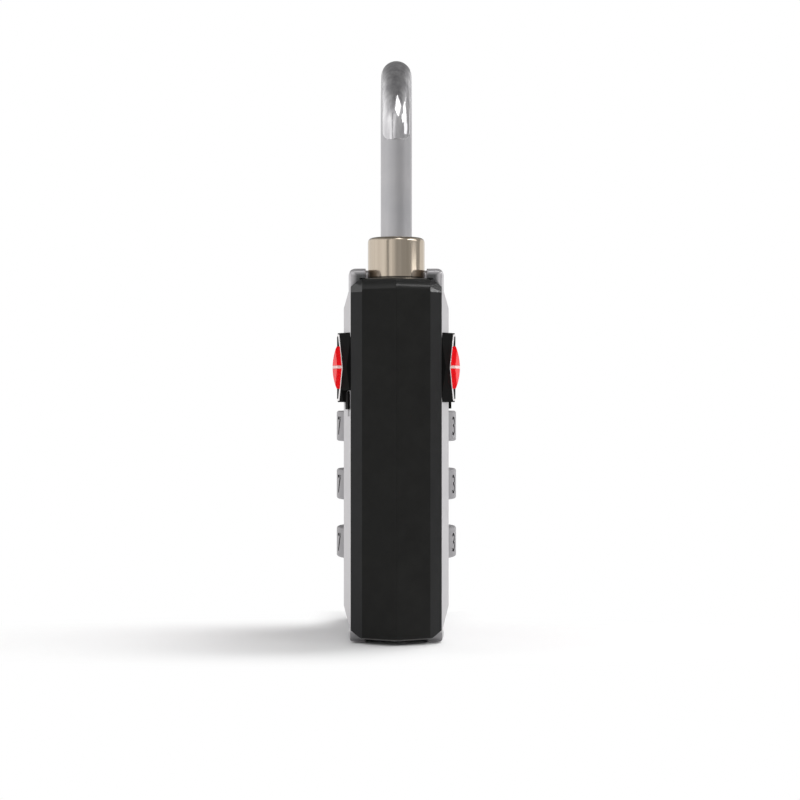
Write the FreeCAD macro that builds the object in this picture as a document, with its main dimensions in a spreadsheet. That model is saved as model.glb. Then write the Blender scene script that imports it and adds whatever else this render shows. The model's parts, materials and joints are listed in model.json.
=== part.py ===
import FreeCAD, Part
import Sketcher
import os
import re

# Luggage combination padlock
# Frame: X across the width, Y through the thickness with the front cover at -Y, +Z up.
# The origin is the middle of the foot, at the level that the covers stand on.
# The toe leg of the shackle is at +X and its heel leg is at -X.

SIZES = {
    # black frame and its side bands
    "band_crest_x": 15.0,
    "band_edge_in": 1.84,
    "band_edge_y": 3.755,
    "band_bottom": 0.56,
    "band_top": 40.3,
    "band_round": 1.3,
    "band_foot_bevel": 0.12,
    "band_corner_top": 0.98,
    "band_corner_foot": 0.88,
    # silver covers
    "cover_edge_in": 2.8,
    "cover_edge_y": 5.03,
    "cover_bevel_wide": 2.7,
    "cover_face_y": 5.86,
    "cover_wall": 1.2,
    "cover_edge_depth": 0.98,
    "cover_edge_wide": 1.2,
    "cover_top": 41.4,
    "cover_rim_y": 5.27,
    "cover_foot_y": 5.25,
    "foot_bead_high": 1.15,
    "foot_waist_y": 5.1,
    "top_bevel_low": 37.1,
    "top_bevel_high": 38.9,
    "foot_bevel_low": 1.4,
    "foot_bevel_high": 3.9,
    "lip_inner_y": 3.4,
    "foot_lip_tall": 1.1,
    "lip_round": 0.85,
    "seam_gap": 0.05,
    # shackle
    "rod_radius": 1.75,
    "leg_offset": 8.5,
    "bend_height": 56.06,
    "toe_tip": 34.1,
    "heel_foot": 25.95,
    "neck_radius": 1.1,
    "foot_thick": 0.8,
    "shackle_lift": 11.2,
    "shackle_gap": 0.05,
    "tip_chamfer": 0.4,
    "toe_spare": 0.5,
    # collars
    "collar_radius": 3.2,
    "collar_top": 45.0,
    "collar_seat": 39.4,
    "collar_round": 0.5,
    # latch
    "latch_low": 36.9,
    "latch_high": 39.0,
    "latch_half_thick": 1.2,
    "latch_tail": -1.4,
    "latch_bite": 0.6,
    "notch_spare": 0.05,
    "latch_travel": 3.136,
    "wedge_start": -1.3,
    "wedge_end": 4.45,
    "channel_wall": 1.05,
    "slide_gap": 0.05,
    # cross pin in the heel's neck
    "heel_pin_radius": 0.6,
    "heel_pin_height": 38.6,
    # digit wheels
    "dial_radius": 7.0,
    "dial_tall": 3.5,
    "dial_pitch": 6.73,
    "dial_low_centre": 10.38,
    "dial_round": 0.4,
    "digit_count": 10,
    "groove_deep": 0.22,
    "groove_half_angle": 2.6,
    "pocket_gap": 0.1,
    "window_half_width": 4.4,
    "window_gap": 0.2,
    # click pits, balls and springs
    "pit_ring_half": 0.62,
    "pit_ring_deep": 0.35,
    "pit_half": 0.3,
    "pit_deep": 0.15,
    "ball_radius": 0.55,
    "ball_gap": 0.04,
    "ball_hole_gap": 0.03,
    "ball_hole_deep": 2.1,
    # hubs
    "hub_radius": 3.75,
    "hub_tooth_reach": 0.37,
    "hub_tooth_root": 0.85,
    "hub_tooth_half": 0.5,
    "hub_drop": 0.45,
    "hub_tooth_count": 5,
    "hub_web": 0.75,
    "hub_end_gap": 0.05,
    "hub_turn_gap": 0.1,
    "notch_gap": 0.13,
    "stack_gap": 0.08,
    # spindle
    "spindle_radius": 1.1,
    "fin_reach": 2.5,
    "fin_half": 0.5,
    "fin_tall": 0.7,
    "fin_room": 0.2,
    "spindle_travel": 1.68,
    "head_half": 1.2,
    "head_low": 33.6,
    "wedge_gap": 0.1,
    "spring_floor": 0.5,
    # inspection key cylinder
    "sleeve_top": 4.6,
    "plug_radius": 2.9,
    "plug_recess": 0.1,
    "cam_gap": 0.3,
    "cam_tall": 1.3,
    "lug_half": 0.55,
    "lug_tall": 1.4,
    "lug_gap": 0.1,
    "thrust_room": 0.3,
    "keyway_half": 0.42,
    "keyway_reach": 2.1,
    "wafer_half_wide": 1.5,
    "wafer_inset": 0.4,
    "wafer_gap": 0.1,
    "wafer_bar": 0.5,
    "wafer_thick": 0.5,
    "wafer_pitch": 1.0,
    "wafer_low": 1.5,
    # reset slider
    "slider_inset": 0.35,
    "slider_wide": 0.9,
    "slider_low": 25.8,
    "slider_high": 27.8,
    "slider_cap": 0.24,
    "stem_half_wide": 0.25,
    "stem_low": 26.6,
    "stem_high": 27.4,
    "slider_plate": 0.4,
    "slider_lift": 0.02,
    "plate_low_in": 0.3,
    "plate_high_in": 0.1,
    "plate_gap": 0.1,
    "stem_root": 0.2,
    "stem_gap": 0.05,
    "slider_travel": 1.5,
    # badges on both covers
    "badge_low": 26.6,
    "badge_high": 34.3,
    "badge_tip_in": 1.5,
    "badge_point": 0.74,
    "badge_flare": 2.07,
    "badge_thick": 0.68,
    "rim_tip_in": 0.61,
    "rim_point": 1.26,
    "lens_low": 28.1,
    "lens_high": 32.8,
    "lens_tip_in": 0.27,
    "lens_point": 0.77,
    "lens_rise": 0.58,
    "trim_inset": 0.15,
    "trim_wide": 0.22,
    "trim_rise": 0.08,
    # index mark on the back cover
    "index_half": 0.4,
    "index_gap": 0.06,
    "index_proud": 0.5,
    # dowels that hold the covers
    "dowel_radius": 0.5,
    "dowel_inset": 0.6,
    "dowel_start": 2.6,
    "dowel_low": 5.0,
    "dowel_high": 36.5,
    "dowel_reach": 4.85,
    # coil springs
    "spring_wall": 0.41,
    "shackle_spring_floor": 17.5,
    "shackle_spring_radius": 0.95,
    "shackle_spring_wire": 0.17,
    "shackle_spring_turns": 9,
    "spindle_spring_radius": 1.38,
    "spindle_spring_wire": 0.11,
    "spindle_spring_turns": 5,
    "latch_spring_radius": 0.75,
    "latch_spring_wire": 0.1,
    "latch_spring_turns": 5,
    "click_spring_radius": 0.38,
    "click_spring_wire": 0.09,
    "click_spring_turns": 2.5,
    "spring_bore_gap": 0.12,
}

doc = FreeCAD.newDocument("luggage_padlock")
sheet = doc.addObject("Spreadsheet::Sheet", "Sizes")
for row, (alias, value) in enumerate(SIZES.items(), start=1):
    sheet.set(f"A{row}", alias)
    sheet.set(f"B{row}", str(value))
    sheet.setAlias(f"B{row}", alias)
doc.recompute()


def sized(text):
    """The expression with each size's name turned into a reference to the sheet."""
    return re.sub(
        r"[a-z]+(?:_[a-z]+)+",
        lambda name: f"Sizes.{name[0]}" if name[0] in SIZES else name[0],
        str(text),
    )


def bind(thing, **expressions):
    for prop, text in expressions.items():
        thing.setExpression(prop, sized(text))
    return thing


def place(thing, spot, turn=None):
    """Puts a primitive at a spot of three expressions, turned by an axis and an angle."""
    if turn:
        axis, angle = turn
        thing.Placement = FreeCAD.Placement(
            FreeCAD.Vector(), FreeCAD.Rotation(FreeCAD.Vector(*axis), angle)
        )
    for letter, text in zip("xyz", spot):
        thing.setExpression(f"Placement.Base.{letter}", sized(text))
    return thing


def box(name, low, high):
    thing = doc.addObject("Part::Box", name)
    spans = [f"({b}) - ({a})" for a, b in zip(low, high)]
    bind(thing, Length=spans[0], Width=spans[1], Height=spans[2])
    return place(thing, low)


TURNS = {"Z": None, "Y": ((1, 0, 0), -90), "X": ((0, 1, 0), 90)}


def cylinder(name, radius, start, length, along="Z"):
    """A cylinder from its start point, along +Z, +Y or +X."""
    thing = doc.addObject("Part::Cylinder", name)
    bind(thing, Radius=radius, Height=length)
    return place(thing, start, TURNS[along])


def fuse(name, things):
    thing = doc.addObject("Part::MultiFuse", name)
    thing.Shapes = things
    return thing


def cut(name, base, tools):
    thing = doc.addObject("Part::Cut", name)
    thing.Base = base
    thing.Tool = tools[0] if len(tools) == 1 else fuse(name + "_tools", tools)
    return thing


def common(name, things):
    thing = doc.addObject("Part::MultiCommon", name)
    thing.Shapes = things
    return thing


def group(name, things):
    thing = doc.addObject("Part::Compound", name)
    thing.Links = things
    return thing


def mirrored(name, source):
    """The same piece on the other side of the lock's middle plane."""
    thing = doc.addObject("Part::Mirroring", name)
    thing.Source = source
    thing.Normal = FreeCAD.Vector(0, 1, 0)
    return thing


# Sketched bodies

PLANES = {"XY": "XY_Plane", "XZ": "XZ_Plane", "YZ": "YZ_Plane"}


def origin_feature(body, role):
    return next(f for f in body.Origin.OriginFeatures if f.Role == role)


def sketch_on(body, name, plane, offset="0"):
    sketch = body.newObject("Sketcher::SketchObject", name)
    sketch.AttachmentSupport = [(origin_feature(body, PLANES[plane]), "")]
    sketch.MapMode = "FlatFace"
    sketch.setExpression("AttachmentOffset.Base.z", sized(offset))
    return sketch


def draw_polygon(sketch, points):
    """A closed outline whose corners are bound to pairs of expressions."""
    doc.recompute()
    spots = [FreeCAD.Vector(sheet_value(x), sheet_value(y), 0) for x, y in points]
    count = len(spots)
    first = sketch.GeometryCount
    for i in range(count):
        sketch.addGeometry(Part.LineSegment(spots[i], spots[(i + 1) % count]), False)
    for i in range(count):
        here, there = first + i, first + (i + 1) % count
        sketch.addConstraint(Sketcher.Constraint("Coincident", here, 2, there, 1))
    for i, pair in enumerate(points):
        for kind, text, value in zip(("DistanceX", "DistanceY"), pair, spots[i]):
            number = sketch.addConstraint(
                Sketcher.Constraint(kind, -1, 1, first + i, 1, value)
            )
            sketch.setExpression(f"Constraints[{number}]", sized(text))


def draw_circle(sketch, radius):
    number = sheet_value(radius)
    circle = Part.Circle(FreeCAD.Vector(), FreeCAD.Vector(0, 0, 1), number)
    here = sketch.addGeometry(circle, False)
    sketch.addConstraint(Sketcher.Constraint("Coincident", here, 3, -1, 1))
    size = sketch.addConstraint(Sketcher.Constraint("Radius", here, number))
    sketch.setExpression(f"Constraints[{size}]", sized(radius))


def sheet_value(text):
    """The number that an expression has with the sheet's present sizes."""
    value = sheet.evalExpression(sized(text))
    return float(getattr(value, "Value", value))


def pad(body, sketch, length, name):
    feature = body.newObject("PartDesign::Pad", name)
    feature.Profile = sketch
    bind(feature, Length=length)
    return feature


def pocket(body, sketch, length, name, upwards=True):
    feature = body.newObject("PartDesign::Pocket", name)
    feature.Profile = sketch
    feature.Reversed = upwards
    bind(feature, Length=length)
    return feature


def around(body, feature, count, name):
    """Repeats a feature evenly around the Z axis."""
    pattern = body.newObject("PartDesign::PolarPattern", name)
    pattern.Originals = [feature]
    pattern.Axis = (origin_feature(body, "Z_Axis"), [""])
    pattern.Angle = 360
    bind(pattern, Occurrences=count)
    body.Tip = pattern
    return pattern


def prism(name, plane, points, low, high):
    """A straight prism of an outline, from low to high along the plane's own axis."""
    body = doc.addObject("PartDesign::Body", name)
    offset = f"-({high})" if plane == "XZ" else low
    sketch = sketch_on(body, name + "_outline", plane, offset)
    draw_polygon(sketch, points)
    pad(body, sketch, f"({high}) - ({low})", name + "_pad")
    return body


def edges_where(shape, test):
    """Numbers of the edges that pass a test of the edge and its own box."""
    return [n for n, edge in enumerate(shape.Edges, start=1) if test(edge, edge.BoundBox)]


def near(value, text):
    return abs(value - sheet_value(text)) < 0.01


def rounded(name, radius, test, base):
    """A fillet on the edges of a piece that pass a test."""
    doc.recompute()
    thing = doc.addObject("Part::Fillet", name)
    thing.Base = base
    size = sheet_value(radius)
    thing.Edges = [(n, size, size) for n in edges_where(base.Shape, test)]
    return thing


def spring(name, start, length, along="Z", size=None):
    """A coil of six-sided wire between two seats, along +Z or +X, from its own three sizes."""
    radius, wire, turns = (f"{size or name}_{what}" for what in ("radius", "wire", "turns"))
    helix = doc.addObject("Part::Helix", name + "_path")
    helix.SegmentLength = 0
    bind(
        helix,
        Radius=radius,
        Height=f"({length}) - 2 * ({wire})",
        Pitch=f"(({length}) - 2 * ({wire})) / {turns}",
    )
    x, y, z = start
    if along == "Z":
        first = (x, y, f"({z}) + ({wire})")
        wire_start = (f"({x}) + ({radius})", y, f"({z}) + ({wire})")
    else:
        first = (f"({x}) + ({wire})", y, z)
        wire_start = (f"({x}) + ({wire})", y, f"({z}) - ({radius})")
    place(helix, first, TURNS[along])
    section = doc.addObject("Part::RegularPolygon", name + "_wire")
    section.Polygon = 6
    bind(section, Circumradius=wire)
    place(section, wire_start, ((1, 0, 0), 90))
    coil = doc.addObject("Part::Sweep", name)
    coil.Sections = [section]
    doc.recompute()
    coil.Spine = (helix, [f"Edge{n + 1}" for n in range(len(helix.Shape.Edges))])
    coil.Solid = True
    coil.Frenet = True
    return coil


NODES = {}


def keep(node, thing):
    """Gives a finished piece its name, which is also its file's name."""
    thing.Label = node
    NODES[node] = thing
    return thing


# Heights that follow from the sizes

def dial_low(n):
    return f"dial_low_centre - dial_tall / 2 + {n} * dial_pitch"


def hub_low(n):
    return f"{dial_low(n)} - hub_drop"


DIAL_NAMES = ("bottom", "middle", "top")
BAND_EDGE_X = "(band_crest_x - band_edge_in)"
COVER_EDGE_X = "(band_crest_x - cover_edge_in)"
COVER_END_X = f"({COVER_EDGE_X} - seam_gap)"
COVER_FACE_X = f"({COVER_EDGE_X} - cover_bevel_wide)"
DOWEL_X = f"({COVER_EDGE_X} - dowel_inset)"
SLIDER_OUTER_X = f"({COVER_EDGE_X} - slider_inset)"
SLIDER_INNER_X = f"({SLIDER_OUTER_X} - slider_wide)"
SLIDER_MIDDLE_X = f"(({SLIDER_INNER_X} + {SLIDER_OUTER_X}) / 2)"
BADGE_TIP_X = f"({COVER_EDGE_X} - badge_tip_in)"
BADGE_END_X = f"({BADGE_TIP_X} - badge_point)"
RIM_TIP_X = f"({COVER_EDGE_X} - rim_tip_in)"
RIM_END_X = f"({RIM_TIP_X} - rim_point)"
LENS_TIP_X = f"({RIM_TIP_X} - lens_tip_in)"
LENS_SHOULDER_X = f"({LENS_TIP_X} - lens_point)"
DIAL_BORE = "(hub_radius + hub_turn_gap)"
TOOTH_RADIUS = "(hub_radius + hub_tooth_reach)"
DIAL_NOTCH = f"({TOOTH_RADIUS} + notch_gap)"
PIT_CIRCLE = f"(({DIAL_NOTCH} + dial_radius) / 2)"
BORE_RADIUS = f"({TOOTH_RADIUS} + stack_gap)"
HUB_RECESS = "(fin_reach + fin_room)"
CAM_RADIUS = f"({BORE_RADIUS} - cam_gap)"
THRUST_INNER = "(fin_reach + thrust_room)"
THRUST_OUTER = f"({BORE_RADIUS} - hub_turn_gap)"
WAFER_REACH = "(plug_radius - wafer_inset)"
HUB_TALL = "(dial_pitch - hub_end_gap)"
BORE_TOP = f"({hub_low(2)} + {HUB_TALL} + hub_turn_gap)"
SPRING_SEAT = f"({BORE_TOP} + spring_floor)"
FRAME_FACE = "(cover_face_y - cover_wall)"
LEDGE_Y = "(cover_edge_y - cover_edge_depth)"
LEDGE_X = f"({COVER_EDGE_X} - cover_edge_wide)"
INDEX_LOW = f"({dial_low(2)} + dial_tall + window_gap + index_gap)"
INDEX_X = "(dial_radius * cos(720 deg / digit_count))"
LEG_INNER = "(leg_offset - rod_radius)"
NOSE = f"({LEG_INNER} + latch_bite)"
CHANNEL_END = f"(-({LEG_INNER} - channel_wall))"
SHACKLE_SPRING_X = ("(-(dial_radius + pocket_gap + spring_wall + spring_bore_gap"
                    " + shackle_spring_radius + shackle_spring_wire))")
WEDGE_SLOPE = "(spindle_travel / latch_travel)"
HEEL_PIN_X = "(-leg_offset + neck_radius + heel_pin_radius + slide_gap)"


def four_ways(corner):
    """An outline with the same corner in all four quadrants, in order around."""
    back_toe = corner
    back_heel = [(f"-({x})", y) for x, y in reversed(corner)]
    front_heel = [(f"-({x})", f"-({y})") for x, y in corner]
    front_toe = [(x, f"-({y})") for x, y in reversed(corner)]
    return back_toe, back_heel, front_heel, front_toe


# Black frame

def frame_blank():
    corner = [
        (BAND_EDGE_X, "band_edge_y"),
        (COVER_EDGE_X, "cover_edge_y"),
        (COVER_EDGE_X, LEDGE_Y),
        (LEDGE_X, LEDGE_Y),
        (LEDGE_X, FRAME_FACE),
    ]
    back_toe, back_heel, front_heel, front_toe = four_ways(corner)
    outline = [("band_crest_x", "0")] + back_toe + back_heel
    outline += [("-band_crest_x", "0")] + front_heel + front_toe
    body = doc.addObject("PartDesign::Body", "frame_blank")
    section = sketch_on(body, "frame_section", "XY", "band_bottom")
    draw_polygon(section, outline)
    pad(body, section, "band_top - band_bottom", "frame_pad")

    def side_edges(shape, level):
        """The end edges of the four wide faces, at a level."""
        return [f"Edge{n}" for n in edges_where(
            shape,
            lambda edge, b: b.ZLength < 0.01 and near(b.ZMin, level)
            and b.XMin * b.XMax > 0
            and near(min(abs(b.XMin), abs(b.XMax)), BAND_EDGE_X),
        )]

    doc.recompute()
    blank = body.getObject("frame_pad")
    shoulder = body.newObject("PartDesign::Fillet", "frame_shoulders")
    shoulder.Base = (blank, side_edges(blank.Shape, "band_top"))
    bind(shoulder, Radius="band_round")
    doc.recompute()
    foot = body.newObject("PartDesign::Chamfer", "frame_foot_bevels")
    foot.Base = (shoulder, side_edges(shoulder.Shape, "band_bottom"))
    bind(foot, Size="band_foot_bevel")
    body.Tip = foot
    return body


def corner_wedge(name, sign, level, away, tall, low, high):
    """A prism that takes off a corner of the band, seen from the lock's side."""
    back_off = "-" if away == "+" else "+"
    return prism(name, "YZ", [
        (f"{sign}(band_edge_y)", f"{level} {away} seam_gap"),
        (f"{sign}(cover_face_y)", f"{level} {away} seam_gap"),
        (f"{sign}(cover_face_y)",
         f"{level} {back_off} {tall}"
         " * (cover_face_y - band_edge_y) / (cover_edge_y - band_edge_y)"),
    ], low, high)


def corner_cutters():
    """Wedges over the frame's whole top, and at the foot on the two bands only."""
    cutters = []
    for side, sign in (("back", ""), ("front", "-")):
        cutters.append(corner_wedge(f"{side}_top_corner", sign, "band_top", "+",
                                    "band_corner_top", "-band_crest_x", "band_crest_x"))
        for hand, low, high in (
            ("toe", COVER_EDGE_X, "band_crest_x"),
            ("heel", "-band_crest_x", f"-{COVER_EDGE_X}"),
        ):
            cutters.append(corner_wedge(f"{side}_foot_{hand}_corner", sign, "band_bottom",
                                        "-", "band_corner_foot", low, high))
    return cutters


def spindle_room():
    """The bores and slots on the lock's middle line, from the foot up."""
    return [
        cylinder("stack_bore", BORE_RADIUS, ("0", "0", "band_bottom"),
                 f"{BORE_TOP} - band_bottom"),
        cylinder("spindle_hole", "spindle_radius + hub_turn_gap", ("0", "0", BORE_TOP),
                 "spring_floor"),
        cylinder("spindle_spring_bore",
                 "spindle_spring_radius + spindle_spring_wire + spring_bore_gap",
                 ("0", "0", SPRING_SEAT), f"head_low - {SPRING_SEAT}"),
        box("head_room",
            ("-(head_half + slide_gap)", "-(head_half + slide_gap)",
             "head_low - spindle_travel - slide_gap"),
            ("head_half + slide_gap", "head_half + slide_gap", "latch_low")),
        box("wedge_room",
            ("wedge_start - latch_travel - wedge_gap", "-(latch_half_thick + slide_gap)",
             f"latch_low - {WEDGE_SLOPE} * (wedge_end - wedge_start) - wedge_gap"),
            ("wedge_end + wedge_gap", "latch_half_thick + slide_gap", "latch_low")),
        box("latch_channel",
            (CHANNEL_END, "-(latch_half_thick + slide_gap)", "latch_low - slide_gap"),
            ("leg_offset", "latch_half_thick + slide_gap", "latch_high + slide_gap")),
    ]


def leg_bores():
    radius = "rod_radius + shackle_gap"
    tools = []
    for name, x, low in (
        ("toe", "leg_offset", "toe_tip - toe_spare"),
        ("heel", "-leg_offset", "heel_foot - shackle_gap"),
    ):
        tools.append(cylinder(f"{name}_bore", radius, (x, "0", low),
                              f"band_top - ({low})"))
        tools.append(cylinder(f"{name}_collar_seat", "collar_radius",
                              (x, "0", "collar_seat"), "band_top - collar_seat"))
    tools.append(cylinder(
        "shackle_spring_bore",
        "shackle_spring_radius + shackle_spring_wire + spring_bore_gap",
        (SHACKLE_SPRING_X, "0", "shackle_spring_floor"),
        "heel_foot - shackle_spring_floor",
    ))
    tools.append(cylinder("heel_pin_hole", "heel_pin_radius",
                          (HEEL_PIN_X, f"-{FRAME_FACE}", "heel_pin_height"),
                          f"2 * {FRAME_FACE}", along="Y"))
    return tools


def dowels(name):
    """The eight short dowels, four on each side, or the holes for them."""
    return [
        cylinder(f"{name}_{side}_{hand}_{end}", "dowel_radius", (x, y, z),
                 "dowel_reach - dowel_start", along="Y")
        for side, y in (("back", "dowel_start"), ("front", "-dowel_reach"))
        for hand, x in (("toe", DOWEL_X), ("heel", f"-{DOWEL_X}"))
        for end, z in (("low", "dowel_low"), ("high", "dowel_high"))
    ]


def dial_pockets():
    tools = []
    for n, name in enumerate(DIAL_NAMES):
        low = dial_low(n)
        tools.append(cylinder(f"pocket_{name}", "dial_radius + pocket_gap",
                              ("0", "0", f"{low} - pocket_gap"),
                              "dial_tall + 2 * pocket_gap"))
        tools.append(cylinder(f"ball_hole_{name}", "ball_radius + ball_hole_gap",
                              (PIT_CIRCLE, "0", f"{low} - pocket_gap - ball_hole_deep"),
                              "ball_hole_deep + pocket_gap + pit_ring_deep"))
    return tools


def foot_steps():
    """Steps in the frame's foot that take the covers' foot lips."""
    return [
        box(f"foot_step_{side}", (f"-{COVER_EDGE_X}", low, "band_bottom"),
            (COVER_EDGE_X, high, "foot_lip_tall"))
        for side, low, high in (
            ("back", "lip_inner_y", "cover_face_y"),
            ("front", "-cover_face_y", "-lip_inner_y"),
        )
    ]


def make_frame():
    slider_pocket = box(
        "slider_pocket",
        (f"{SLIDER_INNER_X} - plate_gap", f"-{LEDGE_Y}",
         "slider_low + plate_low_in - slider_travel - plate_gap"),
        (f"{SLIDER_OUTER_X} + plate_gap", f"-({LEDGE_Y} - slider_plate - plate_gap)",
         "slider_high - plate_high_in + plate_gap"),
    )
    tools = corner_cutters() + spindle_room() + leg_bores() + dial_pockets()
    tools += dowels("dowel_hole") + foot_steps() + [slider_pocket]
    return keep("frame", cut("frame_cut", frame_blank(), tools))


# Silver covers

def cover_form():
    across = [
        (f"-{COVER_END_X}", "lip_inner_y"),
        (f"-{COVER_END_X}", "cover_edge_y"),
        (f"-{COVER_FACE_X}", "cover_face_y"),
        (COVER_FACE_X, "cover_face_y"),
        (COVER_END_X, "cover_edge_y"),
        (COVER_END_X, "lip_inner_y"),
    ]
    upright = [
        ("lip_inner_y", "0"),
        ("cover_foot_y", "0"),
        ("cover_foot_y", "foot_bead_high"),
        ("foot_waist_y", "foot_bevel_low"),
        ("cover_face_y", "foot_bevel_high"),
        ("cover_face_y", "top_bevel_low"),
        ("cover_rim_y", "top_bevel_high"),
        ("cover_rim_y", "cover_top"),
        ("lip_inner_y", "cover_top"),
    ]
    front = [
        (f"-{COVER_END_X}", "0"),
        (COVER_END_X, "0"),
        (COVER_END_X, "cover_top"),
        (f"-{COVER_END_X}", "cover_top"),
    ]

    def outer_corner(edge, b):
        return b.YLength < 0.01 and b.ZLength < 0.01 and (
            near(b.YMax, "cover_rim_y") and near(b.ZMin, "cover_top")
            or near(b.YMax, "cover_foot_y") and near(b.ZMin, "0")
        )

    return common("cover_form", [
        prism("cover_across", "XY", across, "0", "cover_top"),
        rounded("cover_upright_rounded", "lip_round", outer_corner,
                prism("cover_upright", "YZ", upright, f"-{COVER_EDGE_X}", COVER_EDGE_X)),
        rounded("cover_front_rounded", "lip_round",
                lambda edge, b: b.XLength < 0.01 and b.ZLength < 0.01,
                prism("cover_front", "XZ", front, "0", "2 * cover_face_y")),
    ])


def make_covers():
    hollows = [
        box("cover_hollow",
            (f"-{LEDGE_X}", "0", "foot_lip_tall"), (LEDGE_X, FRAME_FACE, "band_top")),
        box("cover_edge_relief",
            (f"-{COVER_EDGE_X}", "0", "foot_lip_tall"), (COVER_EDGE_X, LEDGE_Y, "band_top")),
    ]
    for n, name in enumerate(DIAL_NAMES):
        low = dial_low(n)
        hollows.append(cylinder(f"window_round_{name}", "dial_radius + pocket_gap",
                                ("0", "0", f"{low} - window_gap"),
                                "dial_tall + 2 * window_gap"))
        hollows.append(box(f"window_{name}",
                           ("-window_half_width", f"{FRAME_FACE} + cover_wall / 2",
                            f"{low} - window_gap"),
                           ("window_half_width", "2 * cover_face_y",
                            f"{low} + dial_tall + window_gap")))
    hollows.append(cylinder("sleeve_scallop", f"{BORE_RADIUS} + seam_gap",
                            ("0", "0", "0"), "foot_lip_tall"))
    hollows += dowels("cover_dowel_hole")
    back = keep("back_cover", cut("back_cover_cut", cover_form(), hollows))
    slot = box("slider_slot",
               (f"{SLIDER_MIDDLE_X} - stem_half_wide - stem_gap",
                "-2 * cover_face_y", "stem_low - slider_travel - stem_gap"),
               (f"{SLIDER_MIDDLE_X} + stem_half_wide + stem_gap",
                "0", "stem_high + stem_gap"))
    keep("front_cover", cut("front_cover_cut", mirrored("front_cover_blank", back), [slot]))


# Shackle, collars and cross pin

def make_shackle():
    bend = doc.addObject("Part::Torus", "bend")
    bend.Angle3 = 180
    bind(bend, Radius1="leg_offset", Radius2="rod_radius")
    place(bend, ("0", "0", "bend_height"), ((1, 0, 0), 90))
    toe = cylinder("toe_leg", "rod_radius", ("leg_offset", "0", "toe_tip + tip_chamfer"),
                   "bend_height - toe_tip - tip_chamfer")
    tip = doc.addObject("Part::Cone", "toe_point")
    bind(tip, Radius1="rod_radius - tip_chamfer", Radius2="rod_radius",
         Height="tip_chamfer")
    place(tip, ("leg_offset", "0", "toe_tip"))
    heel = cylinder("heel_leg", "rod_radius", ("-leg_offset", "0", "heel_foot"),
                    "bend_height - heel_foot")
    rod = fuse("rod", [bend, toe, tip, heel])

    depth = "(latch_bite + notch_spare)"
    full_low = "(latch_low - 2 * slide_gap)"
    outside = "(rod_radius / 2)"
    notch = prism("toe_notch", "XZ", [
        (f"{LEG_INNER} + {depth}", "latch_high + 3 * slide_gap"),
        (f"{LEG_INNER} - {outside}", "latch_high + 3 * slide_gap"),
        (f"{LEG_INNER} - {outside}",
         f"{full_low} - ({depth} + {outside}) * shackle_lift / latch_travel"),
        (f"{LEG_INNER} + {depth}", full_low),
    ], "-2 * rod_radius", "2 * rod_radius")

    neck_low = "heel_foot + foot_thick"
    neck_high = "heel_pin_height + heel_pin_radius + 2 * slide_gap"
    neck = cut("neck_ring", cylinder("neck_outside", "2 * rod_radius",
                                     ("-leg_offset", "0", neck_low),
                                     f"{neck_high} - ({neck_low})"),
               [cylinder("neck_core", "neck_radius", ("-leg_offset", "0", neck_low),
                         f"{neck_high} - ({neck_low})")])
    keep("shackle", cut("shackle_cut", rod, [notch, neck]))


def make_collar(name, x):
    blank = rounded(f"{name}_rounded", "collar_round",
                    lambda edge, b: b.ZLength < 0.01 and near(b.ZMin, "collar_top"),
                    cylinder(f"{name}_blank", "collar_radius", (x, "0", "collar_seat"),
                             "collar_top - collar_seat"))
    hole = cylinder(f"{name}_hole", "rod_radius + shackle_gap", (x, "0", "collar_seat"),
                    "collar_top - collar_seat")
    keep(name, cut(f"{name}_cut", blank, [hole]))


def make_heel_pin():
    keep("heel_pin", cylinder("heel_pin_rod", "heel_pin_radius",
                              (HEEL_PIN_X, f"-{FRAME_FACE}", "heel_pin_height"),
                              f"2 * {FRAME_FACE}", along="Y"))


# Latch

def wedge_height(x):
    """The latch's sloping underside at a place along X, with the latch at rest."""
    return f"latch_low - {WEDGE_SLOPE} * (({x}) - wedge_start)"


def make_latch():
    keep("latch", prism("latch_bar", "XZ", [
        ("latch_tail", "latch_high"),
        ("latch_tail", "latch_low"),
        ("wedge_start", "latch_low"),
        ("wedge_end", wedge_height("wedge_end")),
        ("wedge_end", "latch_low"),
        (NOSE, "latch_low"),
        (NOSE, "latch_high"),
    ], "-latch_half_thick", "latch_half_thick"))
    middle = "(latch_low + latch_high) / 2"
    keep("latch_spring", spring("latch_spring", (CHANNEL_END, "0", middle),
                                f"latch_tail - {CHANNEL_END}", along="X"))


# Digit wheels and their clicks

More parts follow.
